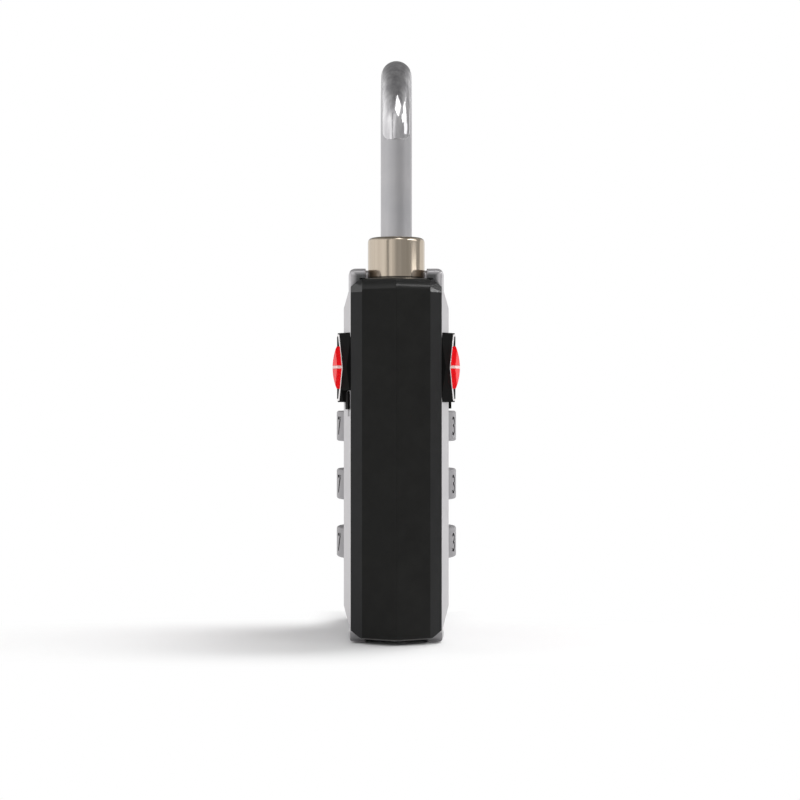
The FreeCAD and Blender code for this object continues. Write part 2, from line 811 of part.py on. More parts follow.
def make_dial(n, name):
    low = dial_low(n)
    body = doc.addObject("PartDesign::Body", f"dial_{name}_body")
    ring = sketch_on(body, f"dial_{name}_ring", "XY", low)
    draw_circle(ring, "dial_radius")
    draw_circle(ring, DIAL_BORE)
    blank = pad(body, ring, "dial_tall", f"dial_{name}_blank")
    doc.recompute()
    rims = edges_where(blank.Shape, lambda edge, b: b.ZLength < 0.01
                       and near(b.XMax, "dial_radius"))
    fillet = body.newObject("PartDesign::Fillet", f"dial_{name}_rims")
    fillet.Base = (blank, [f"Edge{i}" for i in rims])
    bind(fillet, Radius="dial_round")

    groove = sketch_on(body, f"dial_{name}_groove_outline", "XY", low)
    half_step = "180 deg / digit_count"
    floor = "(dial_radius - groove_deep)"
    mouth = "(dial_radius + groove_deep)"
    wide = "groove_half_angle * 2 * 1 deg"
    draw_polygon(groove, [
        (f"{floor} * cos({half_step})", f"{floor} * sin({half_step})"),
        (f"{mouth} * cos({half_step} - {wide})", f"{mouth} * sin({half_step} - {wide})"),
        (f"{mouth} * cos({half_step} + {wide})", f"{mouth} * sin({half_step} + {wide})"),
    ])
    cut_groove = pocket(body, groove, "dial_tall", f"dial_{name}_groove")
    around(body, cut_groove, "digit_count", f"dial_{name}_grooves")

    notch = sketch_on(body, f"dial_{name}_notch_outline", "XY", low)
    half = "(hub_tooth_half + slide_gap)"
    draw_polygon(notch, [
        ("hub_radius", f"-{half}"),
        (DIAL_NOTCH, f"-{half}"),
        (DIAL_NOTCH, half),
        ("hub_radius", half),
    ])
    cut_notch = pocket(body, notch, "dial_tall", f"dial_{name}_notch")
    around(body, cut_notch, "digit_count", f"dial_{name}_notches")

    track = sketch_on(body, f"dial_{name}_track_outline", "XY", low)
    draw_circle(track, f"{PIT_CIRCLE} - pit_ring_half")
    draw_circle(track, f"{PIT_CIRCLE} + pit_ring_half")
    pocket(body, track, "pit_ring_deep", f"dial_{name}_track")

    pit = sketch_on(body, f"dial_{name}_pit_outline", "XY", low)
    draw_polygon(pit, [
        (f"{PIT_CIRCLE} - pit_half", "-pit_half"),
        (f"{PIT_CIRCLE} + pit_half", "-pit_half"),
        (f"{PIT_CIRCLE} + pit_half", "pit_half"),
        (f"{PIT_CIRCLE} - pit_half", "pit_half"),
    ])
    cut_pit = pocket(body, pit, "pit_ring_deep + pit_deep", f"dial_{name}_pit")
    around(body, cut_pit, "digit_count", f"dial_{name}_pits")
    keep(f"dial_{name}", body)


def make_clicks():
    balls, coils = [], []
    for n, name in enumerate(DIAL_NAMES):
        roof = f"({dial_low(n)} + pit_ring_deep - ball_gap)"
        ball = doc.addObject("Part::Sphere", f"ball_{name}")
        bind(ball, Radius="ball_radius")
        place(ball, (PIT_CIRCLE, "0", f"{roof} - ball_radius"))
        balls.append(ball)
        seat = f"({dial_low(n)} - pocket_gap - ball_hole_deep)"
        coils.append(spring(f"click_coil_{name}", (PIT_CIRCLE, "0", seat),
                            f"{roof} - 2 * ball_radius - {seat}", size="click_spring"))
    keep("detent_balls", group("ball_group", balls))
    keep("detent_springs", group("click_spring_group", coils))


# Hubs and spindle

def make_hub(n, name):
    low = hub_low(n)
    body = doc.addObject("PartDesign::Body", f"hub_{name}_body")
    disc = sketch_on(body, f"hub_{name}_disc", "XY", low)
    draw_circle(disc, "hub_radius")
    draw_circle(disc, "spindle_radius + hub_turn_gap")
    pad(body, disc, HUB_TALL, f"hub_{name}_blank")
    tooth = sketch_on(body, f"hub_{name}_tooth_outline", "XY",
                      f"{dial_low(n)} + hub_turn_gap")
    draw_polygon(tooth, [
        ("hub_radius - hub_tooth_root", "-hub_tooth_half"),
        (TOOTH_RADIUS, "-hub_tooth_half"),
        (TOOTH_RADIUS, "hub_tooth_half"),
        ("hub_radius - hub_tooth_root", "hub_tooth_half"),
    ])
    one = pad(body, tooth, "dial_tall - 2 * hub_turn_gap", f"hub_{name}_tooth")
    around(body, one, "hub_tooth_count", f"hub_{name}_teeth")
    recess = sketch_on(body, f"hub_{name}_recess_outline", "XY", f"{low} + hub_web")
    draw_circle(recess, HUB_RECESS)
    pocket(body, recess, f"{HUB_TALL} - hub_web", f"hub_{name}_recess")
    gate = sketch_on(body, f"hub_{name}_gate_outline", "XY", low)
    reach = "(fin_reach + hub_turn_gap)"
    half = "(fin_half + hub_turn_gap)"
    draw_polygon(gate, [("0", f"-{half}"), (reach, f"-{half}"), (reach, half), ("0", half)])
    pocket(body, gate, "hub_web", f"hub_{name}_gate")
    keep(f"hub_{name}", body)


def make_spindle():
    first_fin = f"({hub_low(0)} + hub_web + hub_turn_gap)"
    pieces = [cylinder("spindle_rod", "spindle_radius", ("0", "0", first_fin),
                       f"head_low - {first_fin}")]
    for n, name in enumerate(DIAL_NAMES):
        low = f"{hub_low(n)} + hub_web + hub_turn_gap"
        pieces.append(box(f"fin_{name}", ("0", "-fin_half", low),
                          ("fin_reach", "fin_half", f"{low} + fin_tall")))
    head = prism("spindle_head", "XZ", [
        ("-head_half", "head_low"),
        ("head_half", "head_low"),
        ("head_half", f"{wedge_height('head_half')} - wedge_gap"),
        ("-head_half", f"{wedge_height('-head_half')} - wedge_gap"),
    ], "-head_half", "head_half")
    keep("spindle", fuse("spindle_fuse", pieces + [head]))
    keep("spindle_spring", spring("spindle_spring", ("0", "0", SPRING_SEAT),
                                  f"head_low - {SPRING_SEAT}"))


# Inspection key cylinder

CAM_LOW = "(sleeve_top + slide_gap)"
CAM_HIGH = f"({CAM_LOW} + cam_tall)"
LUG_LOW = f"({CAM_HIGH} + slide_gap)"
RING_LOW = f"({LUG_LOW} + lug_tall)"


def make_key_cylinder():
    sleeve = cylinder("sleeve_blank", BORE_RADIUS, ("0", "0", "band_bottom"),
                      "sleeve_top - band_bottom")
    hole = cylinder("sleeve_hole", "plug_radius + slide_gap", ("0", "0", "band_bottom"),
                    "sleeve_top - band_bottom")
    keep("key_sleeve", cut("sleeve_cut", sleeve, [hole]))

    low = "band_bottom + plug_recess"
    plug = fuse("plug_blank", [
        cylinder("plug_barrel", "plug_radius", ("0", "0", low), f"{CAM_HIGH} - ({low})"),
        cylinder("plug_cam", CAM_RADIUS, ("0", "0", CAM_LOW), "cam_tall"),
    ])
    tools = [box("keyway", ("-keyway_half", "-keyway_reach", "0"),
                 ("keyway_half", "keyway_reach", "sleeve_top"))]
    tools.append(box("cam_gate", ("-(lug_half + lug_gap)", f"-{BORE_RADIUS}", CAM_LOW),
                     ("lug_half + lug_gap", BORE_RADIUS, CAM_HIGH)))
    wafers = []
    for n, name in enumerate(("first", "second", "third")):
        z = f"wafer_low + {n} * wafer_pitch"
        tools.append(box(f"wafer_slot_{name}",
                         ("-(wafer_half_wide + slide_gap)", f"-{WAFER_REACH}",
                          f"{z} - slide_gap"),
                         ("wafer_half_wide + slide_gap", WAFER_REACH,
                          f"{z} + wafer_thick + slide_gap")))
        blank = box(f"wafer_blank_{name}",
                    ("-wafer_half_wide", f"-({WAFER_REACH} - wafer_gap)", z),
                    ("wafer_half_wide", f"{WAFER_REACH} - wafer_gap", f"{z} + wafer_thick"))
        window = box(f"wafer_window_{name}",
                     ("-(keyway_half + wafer_gap)", "-(keyway_reach - wafer_bar)", z),
                     ("keyway_half + wafer_gap", "keyway_reach - wafer_bar",
                      f"{z} + wafer_thick"))
        wafers.append(cut(f"wafer_{name}", blank, [window]))
    keep("key_plug", cut("plug_cut", plug, tools))
    keep("wafers", group("wafer_group", wafers))

    ring = cylinder("thrust_blank", THRUST_OUTER, ("0", "0", RING_LOW),
                    f"{hub_low(0)} - hub_end_gap - {RING_LOW}")
    hollow = cylinder("thrust_hole", THRUST_INNER, ("0", "0", RING_LOW),
                      f"{hub_low(0)} - hub_end_gap - {RING_LOW}")
    lugs = [box(f"lug_{hand}", (a, "-lug_half", LUG_LOW), (b, "lug_half", RING_LOW))
            for hand, a, b in (("toe", THRUST_INNER, CAM_RADIUS),
                               ("heel", f"-{CAM_RADIUS}", f"-{THRUST_INNER}"))]
    keep("thrust_collar", fuse("thrust_fuse", [cut("thrust_ring", ring, [hollow])] + lugs))


# Reset slider on the front cover

def make_reset_slider():
    def face(x):
        """How far out the cover's side bevel lies at a place along X."""
        slope = f"(cover_face_y - cover_edge_y) / ({COVER_END_X} - {COVER_FACE_X})"
        return f"(cover_face_y - (({x}) - {COVER_FACE_X}) * {slope})"

    inner, outer = SLIDER_INNER_X, SLIDER_OUTER_X
    cap = prism("slider_cap_body", "XY", [
        (inner, f"-({face(inner)} + slider_lift)"),
        (outer, f"-({face(outer)} + slider_lift)"),
        (outer, f"-({face(outer)} + slider_cap)"),
        (inner, f"-({face(inner)} + slider_cap)"),
    ], "slider_low", "slider_high")
    stem = box("slider_stem",
               (f"{SLIDER_MIDDLE_X} - stem_half_wide", f"-({face(outer)} + slider_cap / 2)",
                "stem_low"),
               (f"{SLIDER_MIDDLE_X} + stem_half_wide", f"-({LEDGE_Y} - stem_root)",
                "stem_high"))
    plate = box("slider_plate",
                (inner, f"-({LEDGE_Y} - stem_gap)", "slider_low + plate_low_in"),
                (outer, f"-({LEDGE_Y} - slider_plate)", "slider_high - plate_high_in"))
    keep("reset_slider", fuse("slider_fuse", [cap, stem, plate]))


# Badges

def strip(name, inner, outer, low, high):
    """A strip that follows the cover's face and side bevels between two offsets."""
    return prism(name, "XY", [
        (f"-{COVER_END_X}", f"cover_edge_y + {inner}"),
        (f"-{COVER_FACE_X}", f"cover_face_y + {inner}"),
        (COVER_FACE_X, f"cover_face_y + {inner}"),
        (COVER_END_X, f"cover_edge_y + {inner}"),
        (COVER_END_X, f"cover_edge_y + {outer}"),
        (COVER_FACE_X, f"cover_face_y + {outer}"),
        (f"-{COVER_FACE_X}", f"cover_face_y + {outer}"),
        (f"-{COVER_END_X}", f"cover_edge_y + {outer}"),
    ], low, high)


def six_corners(low, high, shoulder, tip):
    middle = f"(({low}) + ({high})) / 2"
    return [
        (f"-{shoulder}", low),
        (shoulder, low),
        (tip, middle),
        (shoulder, high),
        (f"-{shoulder}", high),
        (f"-{tip}", middle),
    ]


def six_sides(name, low, high, shoulder, tip):
    return prism(name, "XZ", six_corners(low, high, shoulder, tip),
                 LEDGE_Y, "2 * cover_face_y")


def flared_sides(name):
    """The plate's six-sided form, whose ends slope down to the cover's edges."""
    body = doc.addObject("PartDesign::Body", name)
    sections = []
    for level, y, flare in (
        ("low", "cover_edge_y", "badge_flare"),
        ("high", "(cover_face_y + badge_thick)", "0"),
    ):
        section = sketch_on(body, f"{name}_{level}", "XZ", f"-{y}")
        draw_polygon(section, six_corners("badge_low", "badge_high",
                                          f"({BADGE_END_X} + {flare})",
                                          f"({BADGE_TIP_X} + {flare})"))
        sections.append(section)
    loft = body.newObject("PartDesign::AdditiveLoft", f"{name}_loft")
    loft.Profile = sections[0]
    loft.Sections = [sections[1]]
    loft.Ruled = True
    body.Tip = loft
    return body


def on_face(name, inset, inner, outer):
    """A six-sided slab on the badge, set in from the plate's rim, between two offsets."""
    low, high = f"badge_low + {inset}", f"badge_high - {inset}"
    return common(name, [
        strip(f"{name}_strip", inner, outer, low, high),
        six_sides(f"{name}_outline", low, high,
                  f"({RIM_END_X} - {inset})", f"({RIM_TIP_X} - {inset})"),
    ])


def both_sides(node, thing):
    keep(f"{node}_back", thing)
    keep(f"{node}_front", mirrored(f"{node}_mirror", thing))


def make_badges():
    trim_level = "(badge_thick + trim_rise)"
    field_inset = "(trim_inset + trim_wide)"
    plate = keep("badge_plate_back", fuse("badge_plate_fuse", [
        common("badge_base", [
            strip("badge_base_strip", "0", "badge_thick", "badge_low", "badge_high"),
            flared_sides("badge_base_form"),
        ]),
        on_face("badge_field", field_inset, "badge_thick", trim_level),
    ]))
    slider_notch = box("slider_notch",
                       (f"{SLIDER_INNER_X} - plate_gap", "-2 * cover_face_y",
                        "badge_low - plate_gap"),
                       ("band_crest_x", "0", "slider_high + plate_gap"))
    keep("badge_plate_front", cut("badge_plate_front_cut",
                                  mirrored("badge_plate_mirror", plate), [slider_notch]))
    both_sides("badge_trim", cut("badge_trim_cut", on_face(
        "badge_trim_slab", "trim_inset", "badge_thick", trim_level), [
            on_face("badge_trim_hole", field_inset, "badge_thick", trim_level)]))

    # the lens is cut from a bar of round section, so its crown runs along the badge
    half = "((lens_high - lens_low) / 2)"
    rise = "(lens_rise - trim_rise)"
    radius = f"(({half} * {half} + {rise} * {rise}) / (2 * {rise}))"
    middle = "(lens_low + lens_high) / 2"
    crown = "cover_face_y + badge_thick + lens_rise"
    bar = cylinder("lens_bar", radius, (f"-{RIM_TIP_X}", f"{crown} - {radius}", middle),
                   f"2 * {RIM_TIP_X}", along="X")
    both_sides("badge_lens", common("badge_lens_common", [
        strip("lens_strip", trim_level, "badge_thick + lens_rise", "lens_low", "lens_high"),
        six_sides("lens_outline", "lens_low", "lens_high", LENS_SHOULDER_X, LENS_TIP_X),
        bar,
    ]))
    keep("index_mark", box(
        "index_bar", (f"{INDEX_X} - index_half", "cover_face_y", INDEX_LOW),
        (f"{INDEX_X} + index_half", "cover_face_y + index_proud", "badge_low")))


def make_all():
    make_frame()
    make_covers()
    make_shackle()
    make_collar("toe_collar", "leg_offset")
    make_collar("heel_collar", "-leg_offset")
    make_heel_pin()
    keep("shackle_spring", spring("shackle_spring",
                                  (SHACKLE_SPRING_X, "0", "shackle_spring_floor"),
                                  "heel_foot - shackle_spring_floor"))
    make_latch()
    for n, name in enumerate(DIAL_NAMES):
        make_dial(n, name)
        make_hub(n, name)
    make_clicks()
    make_spindle()
    make_key_cylinder()
    make_reset_slider()
    make_badges()
    keep("cover_pins", group("dowel_group", dowels("dowel")))


def check_and_export():
    doc.recompute()
    bad = [o.Name for o in doc.Objects if "Invalid" in o.State or "Error" in o.State]
    bad += [n for n, o in NODES.items() if o.Shape.isNull() or not o.Shape.isValid()]
    if bad:
        raise RuntimeError(f"these objects failed: {bad}")
    os.makedirs("parts", exist_ok=True)
    for node, thing in NODES.items():
        thing.Shape.exportStep(f"parts/{node}.step")
        b = thing.Shape.BoundBox
        print(f"{node:18s} solids {len(thing.Shape.Solids)}"
              f" volume {thing.Shape.Volume:9.3f}"
              f" x {b.XMin:7.2f} {b.XMax:7.2f} y {b.YMin:6.2f} {b.YMax:6.2f}"
              f" z {b.ZMin:6.2f} {b.ZMax:6.2f}")


make_all()
check_and_export()
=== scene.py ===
import json
import math

import bmesh
import bpy
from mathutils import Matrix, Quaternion, Vector


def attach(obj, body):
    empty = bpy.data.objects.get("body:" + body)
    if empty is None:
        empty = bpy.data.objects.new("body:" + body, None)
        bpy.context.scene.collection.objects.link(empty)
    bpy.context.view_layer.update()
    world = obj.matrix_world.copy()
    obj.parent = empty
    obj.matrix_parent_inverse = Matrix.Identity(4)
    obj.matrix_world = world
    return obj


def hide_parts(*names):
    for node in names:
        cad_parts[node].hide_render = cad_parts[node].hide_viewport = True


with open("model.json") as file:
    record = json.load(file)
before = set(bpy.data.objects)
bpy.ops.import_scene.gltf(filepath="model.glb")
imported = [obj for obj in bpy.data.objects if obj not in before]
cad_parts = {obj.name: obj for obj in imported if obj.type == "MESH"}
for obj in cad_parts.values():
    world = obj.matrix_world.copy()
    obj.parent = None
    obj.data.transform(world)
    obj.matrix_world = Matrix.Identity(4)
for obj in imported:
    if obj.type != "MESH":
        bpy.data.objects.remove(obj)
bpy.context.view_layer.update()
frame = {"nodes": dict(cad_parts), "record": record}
nodes = frame["nodes"]

MM = 0.001


# Materials

def new_material(name):
    material = bpy.data.materials.new(name)
    material.use_nodes = True
    tree = material.node_tree
    tree.nodes.clear()
    output = tree.nodes.new("ShaderNodeOutputMaterial")
    shader = tree.nodes.new("ShaderNodeBsdfPrincipled")
    tree.links.new(shader.outputs["BSDF"], output.inputs["Surface"])
    return material, tree, shader


def object_place(tree):
    """The point's place in the object's own metres, with outputs X, Y and Z."""
    place = tree.nodes.new("ShaderNodeTexCoord")
    split = tree.nodes.new("ShaderNodeSeparateXYZ")
    tree.links.new(place.outputs["Object"], split.inputs["Vector"])
    return split.outputs


def noise(tree, scale, detail=3.0, roughness=0.5, stretch=(1, 1, 1)):
    """Noise in the object's own metres, so that it has a real size; scale is per metre."""
    place = tree.nodes.new("ShaderNodeTexCoord")
    mapping = tree.nodes.new("ShaderNodeMapping")
    mapping.inputs["Scale"].default_value = stretch
    texture = tree.nodes.new("ShaderNodeTexNoise")
    texture.inputs["Scale"].default_value = scale
    texture.inputs["Detail"].default_value = detail
    texture.inputs["Roughness"].default_value = roughness
    tree.links.new(place.outputs["Object"], mapping.inputs["Vector"])
    tree.links.new(mapping.outputs["Vector"], texture.inputs["Vector"])
    return texture.outputs["Fac"]


def calc(tree, operation, first, second=None):
    """A math node on one or two values, each a number or another node's output."""
    node = tree.nodes.new("ShaderNodeMath")
    node.operation = operation
    for socket, value in zip(node.inputs, (first, second)):
        if value is None:
            continue
        if isinstance(value, (int, float)):
            socket.default_value = value
        else:
            tree.links.new(value, socket)
    return node.outputs["Value"]


def remap(tree, value, start, end, low, high, smooth=False):
    """Maps start to end onto low to high, and holds low and high beyond them."""
    node = tree.nodes.new("ShaderNodeMapRange")
    if smooth:
        node.interpolation_type = "SMOOTHSTEP"
    node.inputs["From Min"].default_value = start
    node.inputs["From Max"].default_value = end
    node.inputs["To Min"].default_value = low
    node.inputs["To Max"].default_value = high
    tree.links.new(value, node.inputs["Value"])
    return node.outputs["Result"]


def spread(tree, value, low, high):
    """Maps a noise value from 0.3 to 0.7 onto low to high."""
    return remap(tree, value, 0.3, 0.7, low, high)


def tint(tree, value, dark, light):
    """Maps a noise value from 0.3 to 0.7 onto two colours."""
    ramp = tree.nodes.new("ShaderNodeValToRGB")
    low, high = ramp.color_ramp.elements
    low.position = 0.3
    low.color = (*dark, 1)
    high.position = 0.7
    high.color = (*light, 1)
    tree.links.new(value, ramp.inputs["Fac"])
    return ramp.outputs["Color"]


def blend(tree, amount, first, second):
    """Mixes two colours, each three numbers or another node's output."""
    node = tree.nodes.new("ShaderNodeMix")
    node.data_type = "RGBA"
    tree.links.new(amount, node.inputs["Factor"])
    for name, value in (("A", first), ("B", second)):
        socket = next(s for s in node.inputs if s.name == name and s.type == "RGBA")
        if isinstance(value, tuple):
            socket.default_value = (*value, 1)
        else:
            tree.links.new(value, socket)
    return next(s for s in node.outputs if s.type == "RGBA")


def bump(tree, shader, height, distance):
    node = tree.nodes.new("ShaderNodeBump")
    node.inputs["Distance"].default_value = distance
    tree.links.new(height, node.inputs["Height"])
    tree.links.new(node.outputs["Normal"], shader.inputs["Normal"])
    return node


def soften_edges(tree, bump_node, radius):
    """Rounds the look of sharp edges by a small radius under the bump."""
    bevel = tree.nodes.new("ShaderNodeBevel")
    bevel.samples = 6
    bevel.inputs["Radius"].default_value = radius
    tree.links.new(bevel.outputs["Normal"], bump_node.inputs["Normal"])


def coated_metal(name, dark, light, metallic, rough, grain, depth, edge, gloss=0.5):
    """A coat or a finish with fine grain: two near tones, uneven gloss and a soft bump."""
    material, tree, shader = new_material(name)
    cloud = noise(tree, grain * 0.05, detail=4)
    fine = noise(tree, grain, detail=2)
    tree.links.new(tint(tree, cloud, dark, light), shader.inputs["Base Color"])
    tree.links.new(spread(tree, cloud, *rough), shader.inputs["Roughness"])
    shader.inputs["Metallic"].default_value = metallic
    shader.inputs["Specular IOR Level"].default_value = gloss
    soften_edges(tree, bump(tree, shader, fine, depth), edge)
    return material


def drawn_metal(name, dark, light):
    """Metal with fine upright lines, as drawn wire or turned stock has."""
    material, tree, shader = new_material(name)
    lines = noise(tree, 9000, detail=3, stretch=(1, 1, 0.05))
    cloud = noise(tree, 300, detail=3)
    tree.links.new(tint(tree, cloud, dark, light), shader.inputs["Base Color"])
    tree.links.new(spread(tree, lines, 0.25, 0.35), shader.inputs["Roughness"])
    shader.inputs["Metallic"].default_value = 1.0
    bump(tree, shader, lines, 0.000003)
    return material


FACET_START = 3.72
FACET_END = 3.79
SHOULDER_WIDE = 39.0
SHOULDER_NARROW = 38.7
SHOULDER_FADE = 0.05
FOOT_BEVEL = 0.70
FOOT_FADE = 0.04
CREASE_Y = 3.8
CREASE_Z = 39.24
CREASE_FOOT = 38.68
CREASE_SLOPE = 0.37
CREASE_LEAN = 0.3


def frame_black():
    """Satin black; the side facets, the foot's bevel, shoulders and top corners are glossier. The
    side facets are painted a little paler as painted sheen, and the foot's bevel pale grey as a
    painted highlight.
    """
    material, tree, shader = new_material("black_frame")
    place = object_place(tree)
    from_middle = calc(tree, "ABSOLUTE", place["Y"])
    aside = remap(tree, from_middle, FACET_START * MM, FACET_END * MM, 0, 1)
    shoulder_low = remap(tree, aside, 0, 1, SHOULDER_WIDE * MM, SHOULDER_NARROW * MM)
    shoulder = remap(tree, calc(tree, "SUBTRACT", place["Z"], shoulder_low),
                     0, SHOULDER_FADE * MM, 0, 1)
    foot = remap(tree, place["Z"], FOOT_BEVEL * MM, (FOOT_BEVEL - FOOT_FADE) * MM, 0, 1)
    polished = calc(tree, "MAXIMUM", shoulder, foot)
    cloud = noise(tree, 450, detail=4)
    fine = noise(tree, 9000, detail=2)
    wide = tint(tree, cloud, (0.0138, 0.0138, 0.0132), (0.0168, 0.0168, 0.0160))
    # Painted sheen: the side facets are painted a little paler than the wide faces, to stand for
    # the light they catch.
    narrow = tint(tree, cloud, (0.0160, 0.0160, 0.0165), (0.0195, 0.0195, 0.0200))
    # Painted highlight: the foot's bevel is painted pale grey to stand for the floor's reflection
    # in it.
    tone_with_painted_highlights = blend(tree, foot, blend(tree, aside, wide, narrow), (0.13, 0.13, 0.13))
    tree.links.new(tone_with_painted_highlights, shader.inputs["Base Color"])
    tree.links.new(calc(tree, "ADD", spread(tree, cloud, 0.40, 0.48),
                        calc(tree, "MULTIPLY", polished,
                             remap(tree, aside, 0, 1, -0.22, -0.31))),
                   shader.inputs["Roughness"])
    gloss = calc(tree, "ADD", remap(tree, aside, 0, 1, 0.08, 0.20),
                 calc(tree, "MULTIPLY", polished, remap(tree, aside, 0, 1, 0.2, 0.7)))
    tree.links.new(gloss, shader.inputs["Specular IOR Level"])
    outward = calc(tree, "SUBTRACT", from_middle, CREASE_Y * MM)
    crease = calc(tree, "SUBTRACT", CREASE_Z * MM, calc(tree, "MULTIPLY", outward, CREASE_SLOPE))
    rise = calc(tree, "SUBTRACT", calc(tree, "MINIMUM", place["Z"], crease), CREASE_FOOT * MM)
    lean = calc(tree, "MULTIPLY", calc(tree, "MULTIPLY", aside, -CREASE_LEAN),
                calc(tree, "MAXIMUM", rise, 0.0))
    grain = calc(tree, "MULTIPLY", fine, 0.000012)
    soften_edges(tree, bump(tree, shader, calc(tree, "ADD", grain, lean), 1.0), 0.00009)
    return material


COVER_END = 11.84
COVER_END_FADE = 0.04
RECESS_SIDE = 4.85
RECESS_TOP = 41.15
RECESS_FOOT = 39.0
RECESS_FADE = 0.6
RECESS_FOOT_FADE = 0.2
BEAD_FOOT = 1.0
BEAD_TOP = 1.5


def cover_silver():
    """Satin silver; the ends of the covers' top lips carry painted shade for a recess, and the
    ends of the foot lips painted shade, darker towards the floor.
    """
    material, tree, shader = new_material("silver_cover")
    x, y, z = object_place(tree)
    end = remap(tree, calc(tree, "ABSOLUTE", x), COVER_END * MM,
                (COVER_END + COVER_END_FADE) * MM, 0, 1)
    from_side = calc(tree, "SUBTRACT", RECESS_SIDE * MM, calc(tree, "ABSOLUTE", y))
    from_top = calc(tree, "SUBTRACT", RECESS_TOP * MM, z)
    inside = remap(tree, calc(tree, "MINIMUM", from_side, from_top), 0, RECESS_FADE * MM, 0, 1,
                   smooth=True)
    high = remap(tree, z, RECESS_FOOT * MM, (RECESS_FOOT + RECESS_FOOT_FADE) * MM, 0, 1)
    # Painted shade: the top lips' ends are darkened as if hollow, with only a slight real indent
    # from the bump.
    shaded_recess_mask = calc(tree, "MULTIPLY", calc(tree, "MULTIPLY", end, inside), high)
    cloud = noise(tree, 400, detail=4)
    fine = noise(tree, 8000, detail=2)
    bright = tint(tree, cloud, (0.545, 0.53, 0.545), (0.60, 0.585, 0.595))
    painted_recess_shade = tint(tree, fine, (0.07, 0.07, 0.072), (0.15, 0.15, 0.152))
    # Painted shade: the foot lips' ends are darkened towards the floor, to stand for the shadow
    # they sit in.
    painted_foot_shade = calc(tree, "MULTIPLY", end,
                remap(tree, z, BEAD_FOOT * MM, BEAD_TOP * MM, 0.62, 0, smooth=True))
    shade = blend(tree, shaded_recess_mask, blend(tree, painted_foot_shade, bright, (0.10, 0.10, 0.102)), painted_recess_shade)
    tree.links.new(shade, shader.inputs["Base Color"])
    tree.links.new(calc(tree, "ADD", spread(tree, cloud, 0.34, 0.42),
                        calc(tree, "MULTIPLY", shaded_recess_mask, 0.25)), shader.inputs["Roughness"])
    shader.inputs["Metallic"].default_value = 0.75
    height = calc(tree, "SUBTRACT", calc(tree, "MULTIPLY", fine, 0.00001),
                  calc(tree, "MULTIPLY", shaded_recess_mask, 0.00015))
    soften_edges(tree, bump(tree, shader, height, 1.0), 0.00012)
    return material


LENS_MIDDLE = 30.5
LINE_HALF = 0.12
LINE_FADE = 0.08


def red_plastic():
    """Clear red plastic with a pale pressed line along its middle; it glows a little, as painted
    light.
    """
    material, tree, shader = new_material("red_lens")
    height = object_place(tree)["Z"]
    off_middle = calc(tree, "ABSOLUTE", calc(tree, "SUBTRACT", height, LENS_MIDDLE * MM))
    line = remap(tree, off_middle, LINE_HALF * MM, (LINE_HALF + LINE_FADE) * MM, 1, 0,
                 smooth=True)
    cloud = noise(tree, 500, detail=2)
    red = tint(tree, cloud, (0.90, 0.002, 0.006), (0.98, 0.005, 0.011))
    shade = blend(tree, line, red, (0.93, 0.62, 0.60))
    tree.links.new(shade, shader.inputs["Base Color"])
    # Painted light: the lens glows a little in its own colour, though it is no lamp.
    tree.links.new(shade, shader.inputs["Emission Color"])
    shader.inputs["Emission Strength"].default_value = 0.12
    shader.inputs["Roughness"].default_value = 0.16
    shader.inputs["Specular IOR Level"].default_value = 0.1
    bump(tree, shader, calc(tree, "SUBTRACT", calc(tree, "MULTIPLY", cloud, 0.1), line), 0.00006)
    return material


POLISH_FOOT = 55.85
POLISH_FADE = 0.15
POLISH_HALF = 1.5
POLISH_HALF_FADE = 0.12
POLISH_CORNER = (0.8, 1.6)
POLISH_CORNER_RISE = 0.9


def rod_steel():
    """The shackle: satin drawn legs, and a polished bend above them."""
    material, tree, shader = new_material("shackle_steel")
    place = object_place(tree)
    from_middle = calc(tree, "ABSOLUTE", place["Y"])
    start, end = POLISH_CORNER
    corner = calc(tree, "POWER", remap(tree, from_middle, start * MM, end * MM, 0, 1), 3.0)
    lifted = calc(tree, "SUBTRACT", place["Z"],
                  calc(tree, "MULTIPLY", corner, POLISH_CORNER_RISE * MM))
    above = remap(tree, lifted, POLISH_FOOT * MM, (POLISH_FOOT + POLISH_FADE) * MM, 0, 1,
                  smooth=True)
    within = remap(tree, from_middle, POLISH_HALF * MM,
                   (POLISH_HALF + POLISH_HALF_FADE) * MM, 1, 0, smooth=True)
    polished = calc(tree, "MULTIPLY", above, within)
    lines = noise(tree, 9000, detail=3, stretch=(1, 1, 0.02))
    cloud = noise(tree, 300, detail=3)
    ripple = noise(tree, 480, detail=1.5, stretch=(1, 1, 0.25))
    around = tree.nodes.new("ShaderNodeTangent")
    around.direction_type = "RADIAL"
    around.axis = "Z"
    tree.links.new(around.outputs["Tangent"], shader.inputs["Tangent"])
    shader.inputs["Anisotropic"].default_value = 0.8
    satin_tone = tint(tree, cloud, (0.50, 0.495, 0.51), (0.55, 0.54, 0.55))
    streaks = noise(tree, 1300, detail=4, roughness=0.6, stretch=(1, 1, 0.14))
    polished_tone = tint(tree, streaks, (0.50, 0.49, 0.51), (0.90, 0.89, 0.90))
    tree.links.new(blend(tree, polished, satin_tone, polished_tone), shader.inputs["Base Color"])
    satin = spread(tree, lines, 0.36, 0.44)
    gloss = calc(tree, "MULTIPLY", polished, -0.3)
    tree.links.new(calc(tree, "ADD", satin, gloss), shader.inputs["Roughness"])
    shader.inputs["Metallic"].default_value = 1.0
    waves = calc(tree, "MULTIPLY", calc(tree, "MULTIPLY", ripple, polished), 60.0)
    bump(tree, shader, calc(tree, "ADD", lines, waves), 0.000004)
    return material


CONTACT_SHADE_TOP = 40.5
CONTACT_SHADE_FADE = 0.12


